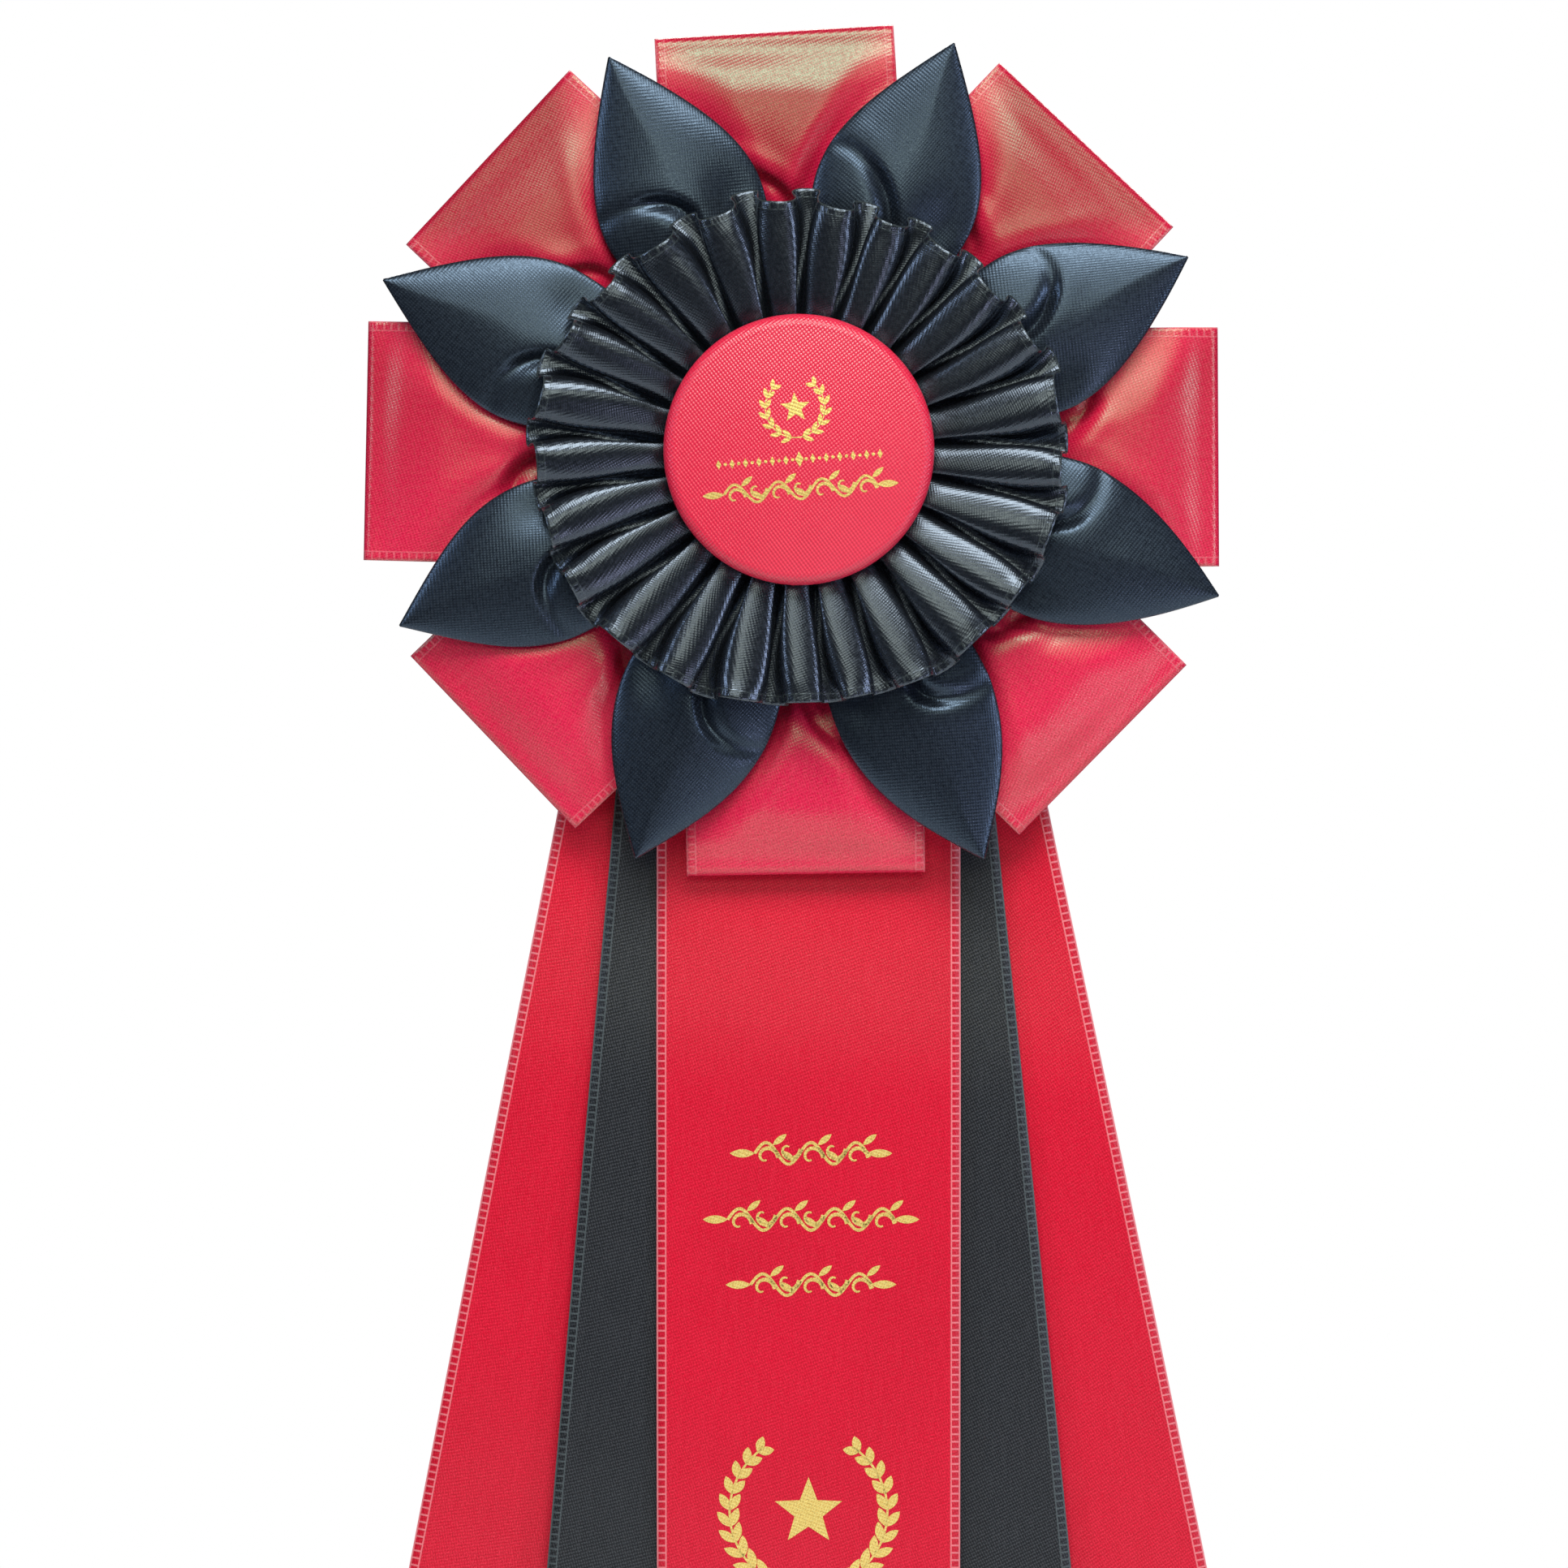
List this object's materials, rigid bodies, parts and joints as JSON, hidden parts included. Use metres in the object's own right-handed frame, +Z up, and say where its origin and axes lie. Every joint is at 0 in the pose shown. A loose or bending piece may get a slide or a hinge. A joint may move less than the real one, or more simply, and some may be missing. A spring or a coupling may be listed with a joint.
{
  "type": "award ribbon rosette",
  "caption": "Award rosette with a covered button, pleated ruffle, petals and ribbon loops, hanging streamers below and a locking bar pin on the back.",
  "frame": {"origin": "middle of the bar pin on the rear card's back face, behind the middle of the button", "axes": "+Z up along the streamers, +X to the right seen from the front, +Y to the back; the front faces -Y"},
  "size_m": [0.2424, 0.0462, 0.5089],
  "materials": {
    "red_button_satin": "red satin with foil ornaments",
    "red_loop_satin": "red satin ribbon with a woven edge",
    "red_streamer_satin": "red ribbed satin ribbon with a ladder edge",
    "black_streamer_satin": "black ribbed satin ribbon with a ladder edge",
    "black_petal_satin": "black satin ribbon",
    "black_ruffle_satin": "black satin ribbon, pleated",
    "thread": "black thread",
    "card": "pale stiff card",
    "foam": "white foam",
    "glue": "set glue",
    "staple_wire": "bright wire",
    "tinplate": "pressed tinplate",
    "pin_steel": "nickel plated",
    "gold_foil": "hot-pressed gold foil"
  },
  "bodies": {
    "root": {"button_cover": "red_button_satin", "button_shell": "tinplate", "button_collet": "tinplate", "button_glue_pad": "glue", "pleated_ruffle": "black_ruffle_satin", "gathering_thread": "thread", "ruffle_card": "card", "front_foam_pad": "foam", "black_petal_1": "black_petal_satin", "black_petal_2": "black_petal_satin", "black_petal_3": "black_petal_satin", "black_petal_4": "black_petal_satin", "black_petal_5": "black_petal_satin", "black_petal_6": "black_petal_satin", "black_petal_7": "black_petal_satin", "black_petal_8": "black_petal_satin", "petal_staples": "staple_wire", "petal_card": "card", "rear_foam_pad": "foam", "red_loop_1": "red_loop_satin", "red_loop_2": "red_loop_satin", "red_loop_3": "red_loop_satin", "red_loop_4": "red_loop_satin", "red_loop_5": "red_loop_satin", "red_loop_6": "red_loop_satin", "red_loop_7": "red_loop_satin", "red_loop_8": "red_loop_satin", "loop_staples": "staple_wire", "backing_card": "card", "card_glue_pad": "glue", "centre_streamer_head": "red_streamer_satin", "black_left_head": "black_streamer_satin", "black_right_head": "black_streamer_satin", "red_left_head": "red_streamer_satin", "red_right_head": "red_streamer_satin", "streamer_staples": "staple_wire", "rear_card": "card", "pin_adhesive_pad": "foam", "pin_base": "pin_steel", "pin_rivet": "pin_steel"},
    "pin_arm": {"pin_arm": "pin_steel"},
    "catch_sleeve": {"catch_sleeve": "pin_steel"},
    "centre_streamer": {"centre_streamer": "red_streamer_satin"},
    "red_right_streamer": {"red_right_streamer": "red_streamer_satin"},
    "red_left_streamer": {"red_left_streamer": "red_streamer_satin"},
    "black_right_streamer": {"black_right_streamer": "black_streamer_satin"},
    "black_left_streamer": {"black_left_streamer": "black_streamer_satin"}
  },
  "joints": [
    {"name": "pin_arm_hinge", "type": "hinge", "parent": "root", "child": "pin_arm", "pos_m": [0.0165, 0.0065, 0], "axis": [0, 0, -1], "range_deg": [0, 75]},
    {"name": "catch_sleeve_turn", "type": "hinge", "parent": "root", "child": "catch_sleeve", "pos_m": [-0.0155, 0.0065, 0], "axis": [1, 0, 0], "range_deg": [0, 90]},
    {"name": "centre_streamer_lift", "type": "hinge", "parent": "root", "child": "centre_streamer", "pos_m": [0, -0.00507, -0.108], "axis": [-1, 0, 0], "range_deg": [0, 70]},
    {"name": "red_right_swing", "type": "hinge", "parent": "root", "child": "red_right_streamer", "pos_m": [0, -0.00147, -0.048], "axis": [1, 0, 0], "range_deg": [0, 50]},
    {"name": "red_left_swing", "type": "hinge", "parent": "root", "child": "red_left_streamer", "pos_m": [0, -0.00237, -0.048], "axis": [1, 0, 0], "range_deg": [0, 50]},
    {"name": "black_right_swing", "type": "hinge", "parent": "root", "child": "black_right_streamer", "pos_m": [0, -0.00328, -0.048], "axis": [1, 0, 0], "range_deg": [0, 50]},
    {"name": "black_left_swing", "type": "hinge", "parent": "root", "child": "black_left_streamer", "pos_m": [0, -0.00417, -0.048], "axis": [1, 0, 0], "range_deg": [0, 50]}
  ],
  "couplings": [
    {"joint": "red_left_swing", "follows": "red_right_swing", "ratio": 0.97},
    {"joint": "black_right_swing", "follows": "red_right_swing", "ratio": 0.94},
    {"joint": "black_left_swing", "follows": "red_right_swing", "ratio": 0.91}
  ]
}
